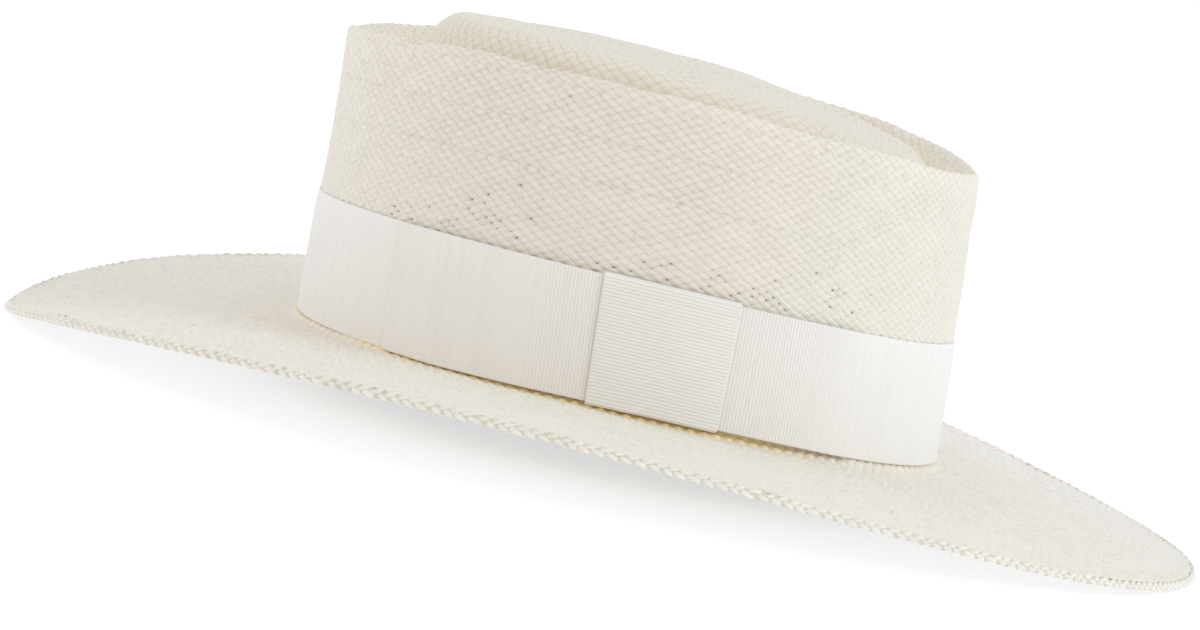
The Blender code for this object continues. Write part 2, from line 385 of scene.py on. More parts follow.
class Skin:
    """A closed skin made ring by ring round the hat. Each ring is zipped to the one before it, so
    neighbours may have different numbers of points."""

    def __init__(self):
        self.points, self.faces, self.marks = [], [], {"weave": [], "place": []}
        self.size = 0
        self.first = self.last = None

    def ring(self, points, phase, place, open_weave, lattice):
        """lattice is (cells round, place of its row 0, cell height, number of the zone)."""
        ring = (self.size, len(points), phase, place, open_weave)
        self.points.append(points)
        self.size += len(points)
        if self.last is None:
            self.first = ring
        else:
            self.zip(self.last, ring, lattice)
        self.last = ring

    def cap(self, point, place, lattice, first):
        """Closes the hole inside the last ring, or before a first one."""
        start, count, phase, at, _ = self.last
        i = np.arange(count)
        faces = np.stack([start + i, start + (i + 1) % count, np.full(count, self.size)], 1)
        turns = (i[:, None] + phase + (0, 1, 0.5)) / count
        places = np.tile([at, at, place], (count, 1))
        self.points.append(point[None])
        self.size += 1
        if first:
            faces, turns, places = faces[:, ::-1], turns[:, ::-1], places[:, ::-1]
        self.add(faces, turns, places, np.zeros_like(turns), lattice)

    def zip(self, a, b, lattice):
        i, j = np.arange(a[1]), np.arange(b[1])
        step_a, step_b = (i + a[2] + 0.5) / a[1], (j + b[2] + 0.5) / b[1]
        by_a = np.searchsorted(step_b, step_a, side="left")
        by_b = np.searchsorted(step_a, step_b, side="right")
        columns = [(i, 0), (i + 1, 0), (by_a, 1)], [(by_b, 0), (j + 1, 1), (j, 1)]
        for corners in columns:
            faces, turns, places, opens = [], [], [], []
            for k, side in corners:
                start, count, phase, place, opened = b if side else a
                faces.append(start + k % count)
                turns.append((k + phase) / count)
                places.append(np.full(len(k), place))
                opens.append(opened[k % count])
            self.add(*(np.stack(v, 1) for v in (faces, turns, places, opens)), lattice)

    def add(self, faces, turns, places, opens, lattice):
        cells, row_0, height, zone = lattice
        x = 2 * cells * turns
        y = 2 * (places - row_0) / height
        self.faces.append(faces)
        weave = np.stack([(x + y) / 2, (y - x) / 2, np.full_like(x, zone)], -1)
        self.marks["weave"].append(weave.reshape(-1, 3))
        place = np.stack([turns, places / MM, opens], -1)
        self.marks["place"].append(place.reshape(-1, 3))

    def piece(self, name, material):
        marks = {mark: np.concatenate(values) for mark, values in self.marks.items()}
        points, faces = np.concatenate(self.points), np.concatenate(self.faces)
        make_piece(name, points, faces, marks, "straw_body", "straw", material)


# Straw weave. A cell is one crossing of two straws, a diamond whose sides run along them. Cells lie in
# rows round the hat; the straws that lean one way are on top in even rows, the others in odd ones.
WALL_WEAVE = (2.2 * MM, math.radians(31))  # pitch, and how steeply the straws run across the rows
TOP_WEAVE = (2.9 * MM, math.radians(44))
BRIM_WEAVE = (2.72 * MM, math.radians(44))
SUB = 3  # points along each side of a cell
RELIEF = 0.38 * MM
# Heights as shares of the relief: [the straw on top][on the middle line of straw a][of straw b]. The a
# straws are stiff and stand up as ridges; the b straws are softer and dip between them.
LEVELS = np.array([[[-1.1, 0.0], [0.2, 0.85]], [[-0.95, -0.1], [0.4, 1.0]]])
SPREAD_SIDE, SPREAD_END = 0.085, 0.03  # how far points lie beyond a third of a cell, in cells
HOLE_DRAW = 0.11  # how far they lie back from an open hole
HOLE_DEPTH = 0.75 * MM
LOOSE_BRIM, LOOSE_WALL = 0.55 * MM, 0.18 * MM  # how far the straws stray from even rows
SHELL = 1.1 * MM
PLAIN_POINTS = 240  # round a ring without relief
SEAM_HEIGHT = 20.0 * MM  # brim and crown meet this far up the wall, behind the ribbon
COVERED_FROM = BAND_CLEARANCE + 2.0 * MM
COVERED_TO = RIBBON_TOP - 0.9 * MM

# Clusters of open holes in the weave: (degrees, spread in degrees, mm above the ribbon, spread in mm,
# share of the gaps that are open).
OPEN_CLUSTERS = [
    (-129, 5, 4, 3, 0.5), (-119, 2, 3, 2, 0.6), (-114, 4, 8, 4, 0.85), (-92, 3, 2, 2, 0.4),
    (-86, 3, 5, 3, 0.6), (-77, 4, 6, 4, 0.45), (-69, 4, 5, 3, 0.7), (-55, 5, 9, 4, 0.5),
    (40, 8, 5, 4, 0.5), (110, 10, 4, 4, 0.5),
]

# How the lattice leans on the wall: (degrees round the hat, way sideways for each way up).
WALL_LEAN = [(-180, 0.2), (-140, 0.31), (-120, 0.27), (-105, 0.18), (-90, 0.1), (-78, -0.04), (-60, -0.08),
             (-40, -0.06), (0, 0.0), (60, 0.1), (120, 0.0), (180, 0.2)]


def openness(turn, place):
    """Share of the weave's gaps that are open, at turns and one place."""
    degrees = np.degrees(angle_at(turn))
    height = (place - straw.wall - COVERED_TO) / MM
    total = np.full(len(turn), 0.001)
    for middle, spread, above, reach, share in OPEN_CLUSTERS:
        off = (degrees - middle + 180) % 360 - 180
        total += share * np.exp(-((off / spread) ** 2) - ((height - above) / reach) ** 2)
    return np.clip(total, 0, 0.95)


def leaned(turn, place):
    """Where the lattice's turns lie at this place."""
    height = np.clip(place - straw.wall - COVERED_TO, 0, 60 * MM) - 25 * MM
    if place < straw.wall + COVERED_FROM:
        return turn
    fade = np.interp(place - straw.corners[1], [-4 * MM, 30 * MM], [1.0, 0.0])
    lean = np.interp(degrees_round(angle_at(turn)), *zip(*WALL_LEAN))
    return turn + fade * lean * height / straw.girth(place)


def zones(start, end, weave, first_zone):
    """Bands of the weave, as (first place, rows of points, lattice). Straws are added from one to the
    next as the hat widens, so each band has its own number of cells."""
    pitch, slope = weave
    width, height = pitch / math.sin(slope), pitch / math.cos(slope)
    made, place, zone = [], start, first_zone
    while place < end - height / 2:
        turns = int(np.clip(round(0.055 * straw.girth(place) / height), 1, 5))
        turns = min(turns, max(1, round((end - place) / height)))
        cells = max(4, round(straw.girth(place + turns * height / 2) / width))
        made.append((place, 2 * SUB * turns, (cells, place, height, zone)))
        place += turns * height
        zone += 1
    return made


def scatter(a, b, c):
    """A number from 0 to 1 for each whole-numbered triple, without order."""
    return (np.sin(a * 12.9898 + b * 78.233 + c * 37.719) * 43758.5453) % 1.0


def woven_ring(skin, row, place, lattice):
    """One ring of the outer face, with the straws' relief."""
    cells, _, height, zone = lattice
    count = SUB * cells
    phase = 0.5 * (row % 2)
    turn = (np.arange(count) + phase) / count
    point, out, around, inward = straw.at(leaned(turn, place), place)
    x, y = 2 * cells * turn, row / SUB
    a, b = (x + y) / 2, (y - x) / 2
    cell_a, cell_b = np.round(a), np.round(b)
    off_a, off_b = a - cell_a, b - cell_b
    odd = (cell_a + cell_b) % 2 > 0.5
    along, across = np.where(odd, off_b, off_a), np.where(odd, off_a, off_b)
    end, side = np.abs(along) > 0.1, np.abs(across) > 0.1
    strand = scatter(np.where(odd, cell_a, cell_b), odd, zone)
    level = LEVELS[tuple(v.astype(int) for v in (odd, np.abs(off_a) < 0.1, np.abs(off_b) < 0.1))]
    level = level * (0.8 + 0.45 * strand)

    gap = (np.floor(a) + np.floor(b), (np.floor(a) - np.floor(b)) % (2 * cells))
    chance = scatter(*gap, zone + 0.5) / np.maximum(openness(turn, place), 1e-6)
    hole = end & side & (chance < 1)
    draw = HOLE_DRAW * np.clip(chance, 0.2, 1)
    shift_along = np.sign(along) * np.where(hole, draw, end * SPREAD_END)
    shift_across = np.sign(across) * np.where(hole, draw, side * (SPREAD_SIDE + 0.05 * (strand - 0.5)))
    sideways = np.where(odd, -1, 1) * (shift_along - shift_across)
    width = straw.girth(place) / cells
    point = point + around * (sideways * width / 2)[:, None]
    point = point + inward * ((shift_along + shift_across) * height / 2)[:, None]

    smoother = np.interp(place - straw.corners[1], [-9 * MM, 2 * MM, 20 * MM, 32 * MM], [1.0, 0.4, 0.4, 0.65])
    rise = np.where(hole, -HOLE_DEPTH, level * RELIEF * smoother)
    rise = rise + waves(point, 5 * MM, 3) * 0.05 * MM + swell(point, place)
    drift = waves(point, 11 * MM, 5)[:, None] * around + waves(point, 11 * MM, 6)[:, None] * inward
    loose = np.interp(place - straw.wall, [-14 * MM, -2 * MM], [LOOSE_BRIM, LOOSE_WALL])
    point = point + out * rise[:, None] + drift * loose
    skin.ring(point, phase, place, hole.astype(float), lattice)


SHOULDER, RIDGE, LIP = 0.15 * MM, 0.65 * MM, 0.7 * MM


def swell(point, place):
    """How far the straw stands off its even shape: a shoulder above the ribbon, a ridge under it, a lip
    beside the plait, and slow waves everywhere but where the ribbon and sweatband lie."""
    wall = place - straw.wall
    near_band = np.interp(wall, [-12 * MM, -1 * MM, 42 * MM, 52 * MM], [1, 0, 0, 1])
    shoulder = SHOULDER * hump(wall - COVERED_TO - 3.0 * MM, 2.2 * MM)
    still = shoulder + RIDGE * hump(wall + 0.3 * MM, 1.25 * MM) + LIP * hump(place, 2.4 * MM)
    return still + near_band * (waves(point, 45 * MM, 11) * 0.28 + waves(point, 16 * MM, 12) * 0.10) * MM


def plain_ring(skin, count, place, lattice, depth):
    """A ring of a face that carries no relief, this far below the upper face."""
    turn = np.arange(count) / count
    point, out, _, _ = straw.at(turn, place)
    point = point + out * (swell(point, place) - depth)[:, None]
    skin.ring(point, 0.0, place, np.zeros(count), lattice)


def row_place(band, row):
    start, _, lattice = band
    return start + row * lattice[2] / (2 * SUB)


def lattice_at(bands, place):
    for band in bands:
        if place < row_place(band, band[1]):
            return band[2]
    return bands[-1][2]


def inner_places(start, end):
    """Places for the inner face, closer together at the corners."""
    made = [start]
    while made[-1] < end - 1.2 * MM:
        off = min(abs(made[-1] - c) for c in straw.corners)
        made.append(made[-1] + float(np.interp(off, [2 * MM, 8 * MM], [0.9 * MM, 2.8 * MM])))
    return made[:-1] + [end]


def weave_rings(skin, bands, end):
    """Adds the woven rings of all the bands and returns the place after the last."""
    for band in bands:
        for row in range(band[1]):
            place = row_place(band, row)
            if place < end:
                woven_ring(skin, row, place, band[2])
    return place


def make_brim(material):
    skin = Skin()
    top = straw.wall + SEAM_HEIGHT
    bands = zones(0.0, straw.wall + COVERED_FROM, BRIM_WEAVE, 0)
    place = weave_rings(skin, bands, top)
    for p in np.linspace(place + 2 * MM, top, 5):
        plain_ring(skin, PLAIN_POINTS, p, bands[-1][2], 0.0)
    for p in reversed(inner_places(0.0, top)):
        plain_ring(skin, PLAIN_POINTS, p, lattice_at(bands, p), SHELL)
    skin.zip(skin.last, skin.first, bands[0][2])
    skin.piece("straw_brim", material)


def make_crown(material):
    skin = Skin()
    low = straw.wall + SEAM_HEIGHT + GAP
    first = straw.wall + COVERED_TO
    bands = zones(first, straw.corners[1] + 3 * MM, WALL_WEAVE, 100)
    after = row_place(bands[-1], bands[-1][1])
    bands += zones(after, straw.end - 1.2 * MM, TOP_WEAVE, 200)
    for p in np.linspace(low, first - 2 * MM, 5):
        plain_ring(skin, PLAIN_POINTS, p, bands[0][2], 0.0)
    weave_rings(skin, bands, straw.end - 1.0 * MM)
    centre = straw.at(np.zeros(1), straw.end)[0][0]
    skin.cap(centre, straw.end, bands[-1][2], False)
    outer_first = skin.first
    skin.last = skin.first = None
    for i, p in enumerate(reversed(inner_places(low, straw.end - 3 * MM))):
        count = int(np.clip(round(straw.girth(p) / (3.4 * MM) / 8) * 8, 8, 160))
        plain_ring(skin, count, p, lattice_at(bands, p), SHELL)
        if i == 0:
            skin.cap(centre - SHELL * UP, straw.end, bands[-1][2], True)
    skin.zip(skin.last, outer_first, bands[0][2])
    skin.piece("straw_crown", material)


def ribbon_mesh(middle, thick, closed, relief, back_relief, ribs, widths, thin_back):
    """A ribbon round its middle surface, an array of columns along it and rows across it.

    relief and back_relief are added to its two faces. The marks count ribs along the ribbon and
    millimetres across it."""
    columns, rows = middle.shape[:2]
    along = np.roll(middle, -1, 0) - np.roll(middle, 1, 0) if closed else np.gradient(middle, axis=0)
    out = unit(np.cross(along, np.gradient(middle, axis=1)))
    edge = np.minimum(np.arange(rows), np.arange(rows)[::-1])
    taper = np.interp(edge, [0, 1, 2], [0.45, 0.95, 1.0])[None, :, None]
    front = middle + out * (thick / 2 + relief)[..., None] * taper
    back = middle - out * (thick / 2 + back_relief)[..., None] * taper
    picked = np.array([rows - 1, 0]) if thin_back else np.arange(rows)[::-1]
    loop = np.concatenate([front, back[:, picked]], 1)
    across = np.concatenate([widths, widths[picked]]) / MM
    size = loop.shape[1]
    faces, corners = grid(columns, size, closed)
    count = ribs / (columns if closed else columns - 1)
    side = (corners[0][1] < rows).astype(float)
    marks = np.stack([np.stack([a * count, across[b % size], side], -1) for a, b in corners], 1)
    faces, marks = [faces], [marks.reshape(-1, 3)]
    if not closed:
        for cap, column in zip(caps(columns, size), (0, columns - 1)):
            faces.append(cap)
            marks.append(np.zeros((cap.size, 3)) + (column * count, 0, 1))
    return loop.reshape(-1, 3), np.concatenate(faces), {"weave": np.concatenate(marks)}


def across_places(low, top, inner, edge=0.35 * MM):
    """Distances across a ribbon, with close ones along its two edges."""
    return np.concatenate([[low, low + edge], np.linspace(low + 2.2 * edge, top - 2.2 * edge, inner),
                           [top - edge, top]])


RIB_PITCH = 1.05 * MM
RIB_HEIGHT = 0.035 * MM
RIB_POINTS = 4


def rib_columns(length):
    return round(length / RIB_PITCH) * RIB_POINTS


def evenly(line, values):
    """A line's length, and values along it at even steps, a few to each rib."""
    way = way_along(line)
    length = float(way[-1])
    at = np.linspace(0, length, rib_columns(length) + 1)
    return length, [np.interp(at, way, v) for v in values]


def ribbed_piece(node, seed, middle, thick, closed, back_ribs, widths, thin_back, material):
    """A grosgrain ribbon, its ribs a little unequal. back_ribs is how strongly they show on its back."""
    columns, ribs = len(middle), len(middle) // RIB_POINTS
    at = np.arange(columns) * ribs / (columns if closed else columns - 1)
    size = np.random.default_rng(seed).uniform(0.75, 1.2, ribs + 2)
    wave = RIB_HEIGHT * np.cos(2 * math.pi * at) * size[np.round(at).astype(int) % len(size)]
    relief = wave[:, None] + np.zeros(middle.shape[:2])
    mesh = ribbon_mesh(middle, thick - 2 * RIB_HEIGHT, closed, relief, back_ribs * relief, ribs, widths,
                       thin_back)
    return make_piece(node + "_grosgrain", *mesh, node, "grosgrain", material)


TOP_HUG = 0.34 * MM  # how far the band's top edge leans in to the crown
BOW_LAYER, BOW_GAP = 0.5 * MM, 0.62 * MM  # thickness of one layer, and from middle to middle of the two
BOW_PUFF, BOW_RIPPLE, TAB_PUFF = 0.55 * MM, 0.22 * MM, 0.35 * MM  # how far the ribbon stands out loose

# How far the band's lower edge stands above its even line: (degrees round the hat, mm).
LOWER_EDGE = [(-180, 0.0), (-150, -0.5), (-122, -1.0), (-104, -0.4), (-84, 0.6), (-60, 0.5), (-40, 0.0),
              (0, 0.1), (60, -0.2), (120, 0.1), (180, 0.0)]


def pace_at(angle):
    """Distance round the brim break for each radian, at this angle."""
    return math.hypot(BREAK_HALF_LENGTH * math.sin(angle), BREAK_HALF_WIDTH * math.cos(angle))


def lower_edge(angle):
    return np.interp(degrees_round(angle), *zip(*LOWER_EDGE)) * MM


def ribbon_heights(angle, widths):
    """Heights up the wall for points across a ribbon, its lower edge following the brim."""
    share = np.clip((RIBBON_TOP - widths) / (RIBBON_TOP - BAND_CLEARANCE), 0, 1)
    return widths[None, :] + lower_edge(angle)[:, None] * share[None, :] ** 3


def make_band(material):
    girth = straw.girth(straw.wall + RIBBON_MIDDLE)
    columns = rib_columns(girth)
    angle = angle_at(np.arange(columns) / columns)
    widths = across_places(BAND_CLEARANCE, RIBBON_TOP, 10)
    heights = ribbon_heights(angle, widths)
    hug = TOP_HUG * hump(RIBBON_TOP - widths, 1.2 * MM)
    middle = wall_point(angle[:, None], heights, BAND_OUT + RIBBON_THICK / 2 - hug[None, :] + 0 * heights)
    piece = ribbed_piece("ribbon_band", 31, middle, RIBBON_THICK, True, 0, widths, True, material)


def make_bow(material):
    """The bow's ribbon, folded flat into a long loop: out along the front face and back behind it."""
    front = np.linspace(BOW_BACK, BOW_FRONT, 500)
    wing = np.abs(np.interp(front, [BOW_FRONT, TAB_MIDDLE, BOW_BACK], [1, 0, 1]))
    puff = BOW_PUFF * np.sin(math.pi * np.clip((wing - 0.15) / 0.85, 0, 1)) ** 1.5
    ripple = BOW_RIPPLE * hump(np.degrees(front) + 123.5, 2.2)
    radius = BOW_GAP / 2
    fold = np.linspace(0, math.pi, 16)[1:-1]
    reach = 1.6 * radius / (95 * MM) * np.sin(fold)
    angle = np.concatenate([front, BOW_FRONT - reach, front[::-1], BOW_BACK + reach])
    out = BOW_OUT + BOW_LAYER / 2 + np.concatenate([
        BOW_GAP + puff + ripple, radius * (1 + np.cos(fold)), 0 * front, radius * (1 - np.cos(fold)),
    ])
    line = wall_point(angle, np.full(len(angle), RIBBON_MIDDLE), out)
    line, angle, out = (np.concatenate([v, v[:1]]) for v in (line, angle, out))
    length, evened = evenly(line, (angle, out))
    angle, out = (v[:-1] for v in evened)
    widths = across_places(BAND_CLEARANCE, RIBBON_TOP, 10)
    heights = ribbon_heights(angle, widths)
    skew = (widths - BAND_CLEARANCE - RIBBON_WIDTH / 2) / RIBBON_WIDTH
    lean = np.interp(np.degrees(angle), [-133, -128, -52, -46], [0.1, 0, 0, -2.0])
    turned = angle[:, None] + np.radians(lean[:, None] * skew[None, :])
    middle = wall_point(turned, heights, out[:, None] + np.zeros_like(heights))
    piece = ribbed_piece("bow_loops", 32, middle, BOW_LAYER, True, 0.5, widths, False, material)


def make_tab(material):
    """The upright wrap over the middle of the bow. Its ribs run round the hat."""
    low = BAND_CLEARANCE - GAP - RIBBON_THICK / 2
    top = RIBBON_TOP + GAP + RIBBON_THICK / 2
    front = TAB_OUT + RIBBON_THICK / 2
    back = BOW_OUT + 0.1 * MM
    corner = 0.8 * MM
    bends = np.linspace(0, math.pi / 2, 9)
    rise, inset = corner * (1 - np.cos(bends)), corner * (1 - np.sin(bends))
    upright = np.linspace(low + corner, top - corner, 40)[1:-1]
    halfway = (back + front - corner) / 2
    heights = np.concatenate([[low, low], low + rise, upright, top - rise[::-1], [top, top]])
    outs = np.concatenate([[back, halfway], front - inset, front + 0 * upright, front - inset[::-1],
                           [halfway, back]])
    length, evened = evenly(np.stack([heights, outs], 1), (heights, outs))
    height, out = (v[:, None] for v in evened)
    widths = across_places(-TAB_WIDTH / 2, TAB_WIDTH / 2, 14)
    angle = TAB_MIDDLE + widths / pace_at(TAB_MIDDLE)
    swollen = TAB_PUFF * (1 - (2 * widths / TAB_WIDTH) ** 2)
    lower = lower_edge(angle)[None, :] * np.clip(1 - height / (20 * MM), 0, 1)
    middle = wall_point(angle + 0 * height, height + lower, out + swollen[None, :])
    piece = ribbed_piece("bow_tab", 33, middle[:, ::-1], RIBBON_THICK, False, 0, widths, False, material)


# The plaited edge: three bundles of straw that cross over each other, round a straight fourth one.
PLAIT_REPEAT = 12.0 * MM
PLAIT_POINTS = 16
PLAIT_SIDES = 8
PLAIT_TURN = math.radians(62)  # how far its flat face is turned from up to outwards
PLAIT_SWAY, PLAIT_HEAVE = 0.80 * MM, 0.50 * MM
PLAIT_STRAND, PLAIT_CORE = (0.68 * MM, 0.50 * MM), (1.0 * MM, 0.62 * MM)  # half widths and thicknesses


def make_plait(material):
    rng = np.random.default_rng(41)
    dense = angle_at(np.linspace(0, 1, 4001))
    way = way_along(edge_point(dense, BRAID_RADIUS))
    repeats = round(way[-1] / PLAIT_REPEAT)
    count = repeats * PLAIT_POINTS
    share = np.arange(count) / count
    angle = np.interp(share * way[-1], way, dense)
    centre = edge_point(angle, BRAID_RADIUS)
    ahead = unit(edge_point(angle + 1e-3, BRAID_RADIUS) - centre)
    side = unit(np.cross(ahead, UP))
    lift = np.cross(side, ahead)
    face = side * math.sin(PLAIT_TURN) + lift * math.cos(PLAIT_TURN)
    width = side * math.cos(PLAIT_TURN) - lift * math.sin(PLAIT_TURN)
    circle = np.stack([np.cos(share * 2 * math.pi), np.sin(share * 2 * math.pi), 0 * share], 1)
    slip = waves(circle, 0.05, 8)
    faces, corners = grid(count, PLAIT_SIDES, True)
    parts, marks = [], []
    for strand in range(4):
        crossing = strand < 3
        phase = 2 * math.pi * (share * repeats + strand / 3) + 0.35 * slip
        sway = crossing * PLAIT_SWAY * np.sin(phase)
        heave = crossing * PLAIT_HEAVE * np.sin(2 * phase)
        middle = centre + width * sway[:, None] + face * heave[:, None]
        run = unit(np.roll(middle, -1, 0) - np.roll(middle, 1, 0))
        flat = unit(np.cross(run, face))
        tall = np.cross(flat, run)
        size = 1 + 0.10 * waves(centre, 14 * MM, 50 + strand)
        wide, thick = (reach * size for reach in (PLAIT_STRAND if crossing else PLAIT_CORE))
        grooves = rng.uniform(-0.05, 0.05, PLAIT_SIDES) * MM
        body = rings_round(middle, flat, tall, wide, thick, PLAIT_SIDES)
        parts.append(((body + tall[:, None] * grooves[None, :, None]).reshape(-1, 3), faces))
        cells = [np.stack([a / PLAIT_POINTS, b / PLAIT_SIDES, 0 * a + strand], -1) for a, b in corners]
        marks.append(np.stack(cells, 1).reshape(-1, 3))
    make_piece("brim_edge_plait", *join(parts), {"weave": np.concatenate(marks)}, "brim_edge_braid",
               "straw_plait", material)


# Inside the crown.


def make_sweatband(material):
    columns = 900
    angle = angle_at(np.arange(columns) / columns)
    widths = across_places(SWEATBAND_LOW, SWEATBAND_TOP, 30)
    height = widths[None, :] + np.zeros((columns, 1))
    middle_out = SWEATBAND_OUT - SWEATBAND_THICK / 2
    middle = wall_point(angle[:, None], height, middle_out)
    hem = 0.12 * MM * hump(height - SWEATBAND_TOP + 1.0 * MM, 0.7 * MM)
    seam = -0.12 * MM * hump(height - STITCH_HEIGHT, 0.8 * MM)
    soft = waves(middle, 12 * MM, 61) * 0.05 * MM
    inner = np.clip(hem + seam + soft, -0.2 * MM, 0.2 * MM)
    mesh = ribbon_mesh(middle[:, ::-1], SWEATBAND_THICK - 0.1 * MM, True, inner[:, ::-1], 0 * inner,
                       570, widths[::-1], True)
    piece = make_piece("sweatband_cotton", *mesh, "sweatband", "sweatband_cotton", material)
    girth = straw.girth(straw.wall + (SWEATBAND_LOW + SWEATBAND_TOP) / 2) + 2 * math.pi * middle_out


def open_strip(name, node, slot, material, middle_angle, width, low, top, thick, relief_of):
    """A short strip sewn inside the sweatband."""
    widths = across_places(-width / 2, width / 2, 16, 0.25 * MM)
    height = np.linspace(low, top, 60)
    angle = middle_angle + widths / pace_at(middle_angle)
    middle = wall_point(angle[None, :], height[:, None] + 0 * widths, TRIM_OUT - thick / 2)
    relief = relief_of(height[:, None], widths[None, :])
    mesh = ribbon_mesh(middle, thick - 0.06 * MM, False, relief, 0 * relief, (top - low) / MM, widths, False)
    piece = make_piece(name, *mesh, node, slot, material)


def make_tape(material):
    half = TAPE_WIDTH / 2

    def relief(height, across):
        stitch = -0.08 * MM * hump(np.abs(across) - half + 1.4 * MM, 0.4 * MM)
        return stitch + 0.02 * MM * np.sin(height / (1.5 * MM) * 2 * math.pi) + 0 * across

    open_strip("seam_tape_cotton", "sweatband_seam_tape", "cotton_tape", material, 0.0, TAPE_WIDTH,
               TAPE_LOW, SWEATBAND_TOP - GAP, TAPE_THICK, relief)


def make_label(material):
    half, middle = LABEL_WIDTH / 2, (LABEL_LOW + LABEL_TOP) / 2

    def relief(height, across):
        end = -0.07 * MM * hump(np.abs(across) - half + 1.2 * MM, 0.35 * MM)
        return end + 0.04 * MM * hump(np.abs(height - middle) - (LABEL_TOP - middle), 0.5 * MM)

    open_strip("size_label_satin", "size_label", "label_satin", material, LABEL_ANGLE, LABEL_WIDTH,
               LABEL_LOW, LABEL_TOP, LABEL_THICK, relief)


def tube(middle, radius, sides=8):
    """Points and faces of a tube along a line, with quads across both ends."""
    run = unit(np.gradient(middle, axis=0))
    side = unit(np.cross(run, run[:, [1, 2, 0]] + (0.31, 0.17, 0.53)))
    body = rings_round(middle, side, np.cross(side, run), radius, radius, sides)
    faces = grid(len(middle), sides, False)[0]
    return body.reshape(-1, 3), np.concatenate([faces, *caps(len(middle), sides)])


def thread_piece(name, parts, node, material):
    points, faces = join(parts)
    make_piece(name, points, faces, {"weave": np.zeros((faces.size, 3))}, node, "thread", material)


def make_stitching(material):
    """Running stitches that hold the sweatband to the straw."""
    rng = np.random.default_rng(71)
    girth = straw.girth(straw.wall + STITCH_HEIGHT)
    count = round(girth / (4.2 * MM))
    parts = []
    for i in range(count):
        share = np.linspace(-0.37, 0.37, 12)
        angle = angle_at((i + share) / count)
        tall = STITCH_HEIGHT + rng.uniform(-0.12, 0.12) * MM + share * rng.uniform(-0.5, 0.5) * MM
        dip = np.clip((np.abs(share) - 0.29) / 0.08, 0, 1) ** 2 * 0.55 * MM
        line = wall_point(angle, tall, TRIM_OUT + GAP - STITCH_RADIUS * 0.7 + dip)
        radius = STITCH_RADIUS * np.interp(np.abs(share), [0.3, 0.37], [1, 0.8])
        parts.append(tube(line, radius))
    thread_piece("sweatband_stitches", parts, "sweatband_stitching", material)


def make_tack(place, degrees, material):
    """A short two-ply tack stitch through the ribbon."""
    parts = []
    run = np.linspace(-1, 1, 24)
    for ply in (0, math.pi):
        turn = run * 5 + ply
        height = TACK_HEIGHT + run * TACK_LENGTH / 2
        dip = np.clip((np.abs(run) - 0.75) / 0.25, 0, 1) ** 2 * 0.5 * MM
        out = BAND_OUT + RIBBON_THICK + 0.1 * MM + TACK_RADIUS * (1 + 0.5 * np.sin(turn)) - dip
        angle = math.radians(degrees) + 0.5 * TACK_RADIUS * np.cos(turn) / (95 * MM)
        parts.append(tube(wall_point(angle, height, out), np.full(len(run), TACK_RADIUS * 0.6), 6))
    thread_piece("tack_stitch_" + place, parts, "band_tack_" + place, material)


# Materials.


class Nodes:
    """Small node expressions in one tree. Their values are numbers, colours or sockets."""

    def __init__(self, tree):
        self.tree = tree

    def put(self, socket, value):
        if isinstance(value, bpy.types.NodeSocket):
            self.tree.links.new(value, socket)
        else:
            socket.default_value = value

    def make(self, kind, values, **settings):
        made = self.tree.nodes.new(kind)
        for name, value in settings.items():
            setattr(made, name, value)
        for key, value in values.items():
            self.put(made.inputs[key], value)
        return made.outputs

    def math(self, operation, a, b=0.0, c=0.0):
        return self.make("ShaderNodeMath", {0: a, 1: b, 2: c}, operation=operation)[0]

    def times(self, a, b):
        return self.math("MULTIPLY", a, b)

    def absolute(self, a):
        return self.math("ABSOLUTE", a)

    def range(self, value, low, high, to_low=0.0, to_high=1.0, curve="SMOOTHSTEP"):
        ends = {"Value": value, "From Min": low, "From Max": high, "To Min": to_low, "To Max": to_high}
        return self.make("ShaderNodeMapRange", ends, interpolation_type=curve)[0]

    def split(self, vector):
        return self.make("ShaderNodeSeparateXYZ", {0: vector})[:]

    def marks(self, name):
        return self.split(self.make("ShaderNodeAttribute", {}, attribute_name=name)[1])

    def where(self):
        return self.make("ShaderNodeTexCoord", {})[3]

    def vector(self, x, y, z=0.0):
        return self.make("ShaderNodeCombineXYZ", {0: x, 1: y, 2: z})[0]

    def noise(self, vector, scale, detail=2.0, rough=0.5):
        values = {"Vector": vector, "Scale": scale, "Detail": detail, "Roughness": rough}
        return self.make("ShaderNodeTexNoise", values)[0]

    def random(self, vector):
        return self.make("ShaderNodeTexWhiteNoise", {"Vector": vector}, noise_dimensions="3D")[0]

    def paint(self, colour, *layers):
        """Lays colours over each other, given as (share, colour)."""
        for share, over in layers:
            made = self.tree.nodes.new("ShaderNodeMix")
            made.data_type = "RGBA"
            for socket, value in ((0, share), (6, colour), (7, over)):
                self.put(made.inputs[socket], value)
            colour = made.outputs[2]
        return colour

    def bumps(self, *layers):
        """Lays bumps over each other, given as (height, depth in millimetres, strength)."""
        values = {}
        for height, depth, strength in layers:
            values.update({"Height": height, "Distance": depth * MM, "Strength": strength})
            values["Normal"] = self.make("ShaderNodeBump", values)[0]
        return values["Normal"]


class Shader(Nodes):
    """A Principled material."""

    def __init__(self, name, **constants):
        self.material = bpy.data.materials.new(name)
        self.material.use_nodes = True
        super().__init__(self.material.node_tree)
        self.inputs = self.tree.nodes["Principled BSDF"].inputs
        for socket, value in constants.items():
            self.inputs[socket.replace("_", " ")].default_value = value

    def finish(self, colour, rough, normal):
        for socket, value in (("Base Color", colour), ("Roughness", rough), ("Normal", normal)):
            self.put(self.inputs[socket], value)
        return self.material


